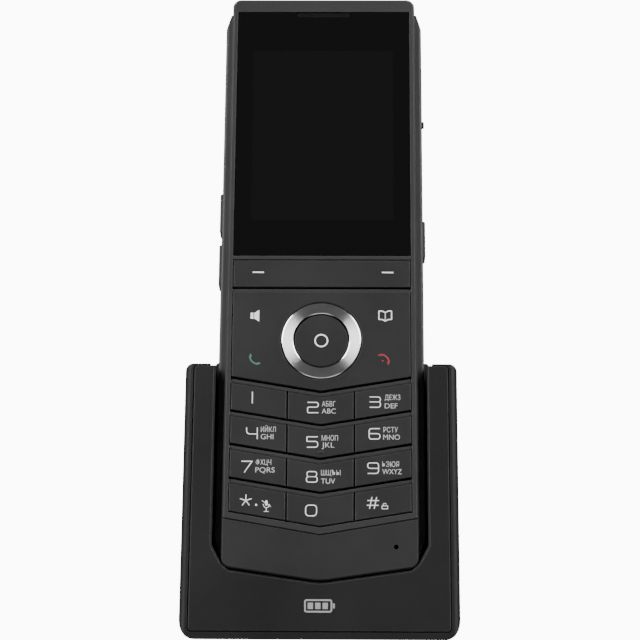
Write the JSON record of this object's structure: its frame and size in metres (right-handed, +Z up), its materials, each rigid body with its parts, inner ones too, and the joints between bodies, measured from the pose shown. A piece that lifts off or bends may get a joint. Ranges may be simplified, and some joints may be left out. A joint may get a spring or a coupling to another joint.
{
  "type": "cordless phone with charging base",
  "caption": "Slim bar-shaped cordless handset with a colour screen, number pad and metal navigation ring, standing in a leaning charging cradle.",
  "frame": {"origin": "on the ground, at the middle of the overall width and depth of the phone standing in its cradle", "axes": "+X to the right of a person facing the keys, +Y away from that person, +Z up"},
  "size_m": [0.0682, 0.0939, 0.1518],
  "materials": {
    "housing_plastic": "fine matte texture, dark grey",
    "band_plastic": "satin dark grey",
    "key_plastic": "fine matte, printed legends",
    "chin_plastic": "fine matte texture",
    "ring_metal": "circular brushed, bright chamfers",
    "screen_glass": "polished cover glass with black print",
    "display_panel": "dark display, switched off",
    "dark_rubber": "soft matte rubber",
    "base_plastic": "fine spark-eroded texture",
    "liner_plastic": "smooth black",
    "board_green": "solder mask",
    "gold_contact": "gold plated",
    "plain_steel": "plated steel",
    "module_black": "moulded component body",
    "battery_wrap": "printed film wrap without lettering"
  },
  "bodies": {
    "base": {"base_shell": "base_plastic", "base_front_panel": "base_plastic", "cradle_liner": "liner_plastic", "bottom_cover": "base_plastic", "base_feet": "dark_rubber", "base_screws": "plain_steel", "ballast_plate": "plain_steel", "base_pcb": "board_green", "power_inlet": "plain_steel", "pin_block": "liner_plastic", "pin_spring_left": "plain_steel", "pin_spring_right": "plain_steel"},
    "charge_pin_left": {"charge_pin_left": "gold_contact"},
    "charge_pin_right": {"charge_pin_right": "gold_contact"},
    "handset": {"front_housing": "housing_plastic", "rear_housing": "housing_plastic", "side_band_left": "band_plastic", "side_band_right": "band_plastic", "screen_lens": "screen_glass", "earpiece_mesh": "plain_steel", "chin_cover": "chin_plastic", "keypad_mat": "dark_rubber", "main_pcb": "board_green", "lcd_module": "display_panel", "display_gasket": "dark_rubber", "earpiece_receiver": "module_black", "microphone": "module_black", "loudspeaker": "module_black", "vibration_motor": "plain_steel", "battery_pack": "battery_wrap", "battery_contacts": "gold_contact", "charge_contacts": "gold_contact", "data_port": "plain_steel", "headset_jack": "module_black", "housing_screws": "plain_steel"},
    "battery_door": {"battery_door": "housing_plastic"},
    "port_cover": {"port_cover": "dark_rubber"},
    "volume_up_key": {"volume_up_key": "key_plastic"},
    "volume_down_key": {"volume_down_key": "key_plastic"},
    "talk_side_key": {"talk_side_key": "key_plastic"},
    "soft_key_bar": {"soft_key_bar": "key_plastic"},
    "plate_spring_ring": {"plate_spring_ring": "plain_steel"},
    "function_key_plate": {"function_key_plate": "key_plastic"},
    "nav_spring_ring": {"nav_spring_ring": "plain_steel"},
    "nav_ring": {"nav_ring": "ring_metal"},
    "ok_key": {"ok_key": "key_plastic"},
    "key_1": {"key_1": "key_plastic"},
    "key_2": {"key_2": "key_plastic"},
    "key_3": {"key_3": "key_plastic"},
    "key_4": {"key_4": "key_plastic"},
    "key_5": {"key_5": "key_plastic"},
    "key_6": {"key_6": "key_plastic"},
    "key_7": {"key_7": "key_plastic"},
    "key_8": {"key_8": "key_plastic"},
    "key_9": {"key_9": "key_plastic"},
    "key_star": {"key_star": "key_plastic"},
    "key_0": {"key_0": "key_plastic"},
    "key_hash": {"key_hash": "key_plastic"}
  },
  "joints": [
    {"name": "handset_lift", "type": "slide", "parent": "base", "child": "handset", "axis": [0, 0.4695, 0.8829], "range_m": [0, 0.09]},
    {"name": "charge_pin_left_press", "type": "slide", "parent": "base", "child": "charge_pin_left", "axis": [0, -0.4695, -0.8829], "range_m": [0, 0.0009], "stiffness_N_per_m": 200, "springref_m": -0.0006, "deforming": ["pin_spring_left"]},
    {"name": "charge_pin_right_press", "type": "slide", "parent": "base", "child": "charge_pin_right", "axis": [0, -0.4695, -0.8829], "range_m": [0, 0.0009], "stiffness_N_per_m": 200, "springref_m": -0.0006, "deforming": ["pin_spring_right"]},
    {"name": "battery_door_off", "type": "slide", "parent": "handset", "child": "battery_door", "axis": [0, 0.8829, -0.4695], "range_m": [0, 0.012]},
    {"name": "port_cover_swing", "type": "hinge", "parent": "handset", "child": "port_cover", "pos_m": [0.0261, 0.03238, 0.13263], "axis": [0, -0.8829, 0.4695], "range_deg": [0, 100]},
    {"name": "volume_up_key_press", "type": "slide", "parent": "handset", "child": "volume_up_key", "axis": [1, 0, 0], "range_m": [0, 0.0003], "stiffness_N_per_m": 400, "springref_m": -0.0002},
    {"name": "volume_down_key_press", "type": "slide", "parent": "handset", "child": "volume_down_key", "axis": [1, 0, 0], "range_m": [0, 0.0003], "stiffness_N_per_m": 400, "springref_m": -0.0002},
    {"name": "talk_side_key_press", "type": "slide", "parent": "handset", "child": "talk_side_key", "axis": [-1, 0, 0], "range_m": [0, 0.0003], "stiffness_N_per_m": 400, "springref_m": -0.0002},
    {"name": "ok_key_press", "type": "slide", "parent": "handset", "child": "ok_key", "axis": [0, 0.8829, -0.4695], "range_m": [0, 0.0004], "stiffness_N_per_m": 400, "springref_m": -0.0002},
    {"name": "key_1_press", "type": "slide", "parent": "handset", "child": "key_1", "axis": [0, 0.8829, -0.4695], "range_m": [0, 0.0004], "stiffness_N_per_m": 400, "springref_m": -0.0002},
    {"name": "key_2_press", "type": "slide", "parent": "handset", "child": "key_2", "axis": [0, 0.8829, -0.4695], "range_m": [0, 0.0004], "stiffness_N_per_m": 400, "springref_m": -0.0002},
    {"name": "key_3_press", "type": "slide", "parent": "handset", "child": "key_3", "axis": [0, 0.8829, -0.4695], "range_m": [0, 0.0004], "stiffness_N_per_m": 400, "springref_m": -0.0002},
    {"name": "key_4_press", "type": "slide", "parent": "handset", "child": "key_4", "axis": [0, 0.8829, -0.4695], "range_m": [0, 0.0004], "stiffness_N_per_m": 400, "springref_m": -0.0002},
    {"name": "key_5_press", "type": "slide", "parent": "handset", "child": "key_5", "axis": [0, 0.8829, -0.4695], "range_m": [0, 0.0004], "stiffness_N_per_m": 400, "springref_m": -0.0002},
    {"name": "key_6_press", "type": "slide", "parent": "handset", "child": "key_6", "axis": [0, 0.8829, -0.4695], "range_m": [0, 0.0004], "stiffness_N_per_m": 400, "springref_m": -0.0002},
    {"name": "key_7_press", "type": "slide", "parent": "handset", "child": "key_7", "axis": [0, 0.8829, -0.4695], "range_m": [0, 0.0004], "stiffness_N_per_m": 400, "springref_m": -0.0002},
    {"name": "key_8_press", "type": "slide", "parent": "handset", "child": "key_8", "axis": [0, 0.8829, -0.4695], "range_m": [0, 0.0004], "stiffness_N_per_m": 400, "springref_m": -0.0002},
    {"name": "key_9_press", "type": "slide", "parent": "handset", "child": "key_9", "axis": [0, 0.8829, -0.4695], "range_m": [0, 0.0004], "stiffness_N_per_m": 400, "springref_m": -0.0002},
    {"name": "key_star_press", "type": "slide", "parent": "handset", "child": "key_star", "axis": [0, 0.8829, -0.4695], "range_m": [0, 0.0004], "stiffness_N_per_m": 400, "springref_m": -0.0002},
    {"name": "key_0_press", "type": "slide", "parent": "handset", "child": "key_0", "axis": [0, 0.8829, -0.4695], "range_m": [0, 0.0004], "stiffness_N_per_m": 400, "springref_m": -0.0002},
    {"name": "key_hash_press", "type": "slide", "parent": "handset", "child": "key_hash", "axis": [0, 0.8829, -0.4695], "range_m": [0, 0.0004], "stiffness_N_per_m": 400, "springref_m": -0.0002},
    {"name": "soft_key_rock", "type": "hinge", "parent": "handset", "child": "soft_key_bar", "pos_m": [0, -0.00078, 0.08304], "axis": [0, 0.4695, 0.8829], "range_deg": [-1.2, 1.2], "stiffness_Nm_per_rad": 0.4},
    {"name": "plate_rock_up_down", "type": "hinge", "parent": "handset", "child": "plate_spring_ring", "pos_m": [0, -0.00813, 0.06837], "axis": [1, 0, 0], "range_deg": [-1.5, 1.5], "stiffness_Nm_per_rad": 0.4},
    {"name": "plate_rock_left_right", "type": "hinge", "parent": "plate_spring_ring", "child": "function_key_plate", "pos_m": [0, -0.00813, 0.06837], "axis": [0, 0.4695, 0.8829], "range_deg": [-1, 1], "stiffness_Nm_per_rad": 0.4},
    {"name": "nav_rock_up_down", "type": "hinge", "parent": "handset", "child": "nav_spring_ring", "pos_m": [0, -0.00906, 0.06705], "axis": [1, 0, 0], "range_deg": [-2.2, 2.2], "stiffness_Nm_per_rad": 0.4},
    {"name": "nav_rock_left_right", "type": "hinge", "parent": "nav_spring_ring", "child": "nav_ring", "pos_m": [0, -0.00906, 0.06705], "axis": [0, 0.4695, 0.8829], "range_deg": [-2.2, 2.2], "stiffness_Nm_per_rad": 0.4}
  ]
}
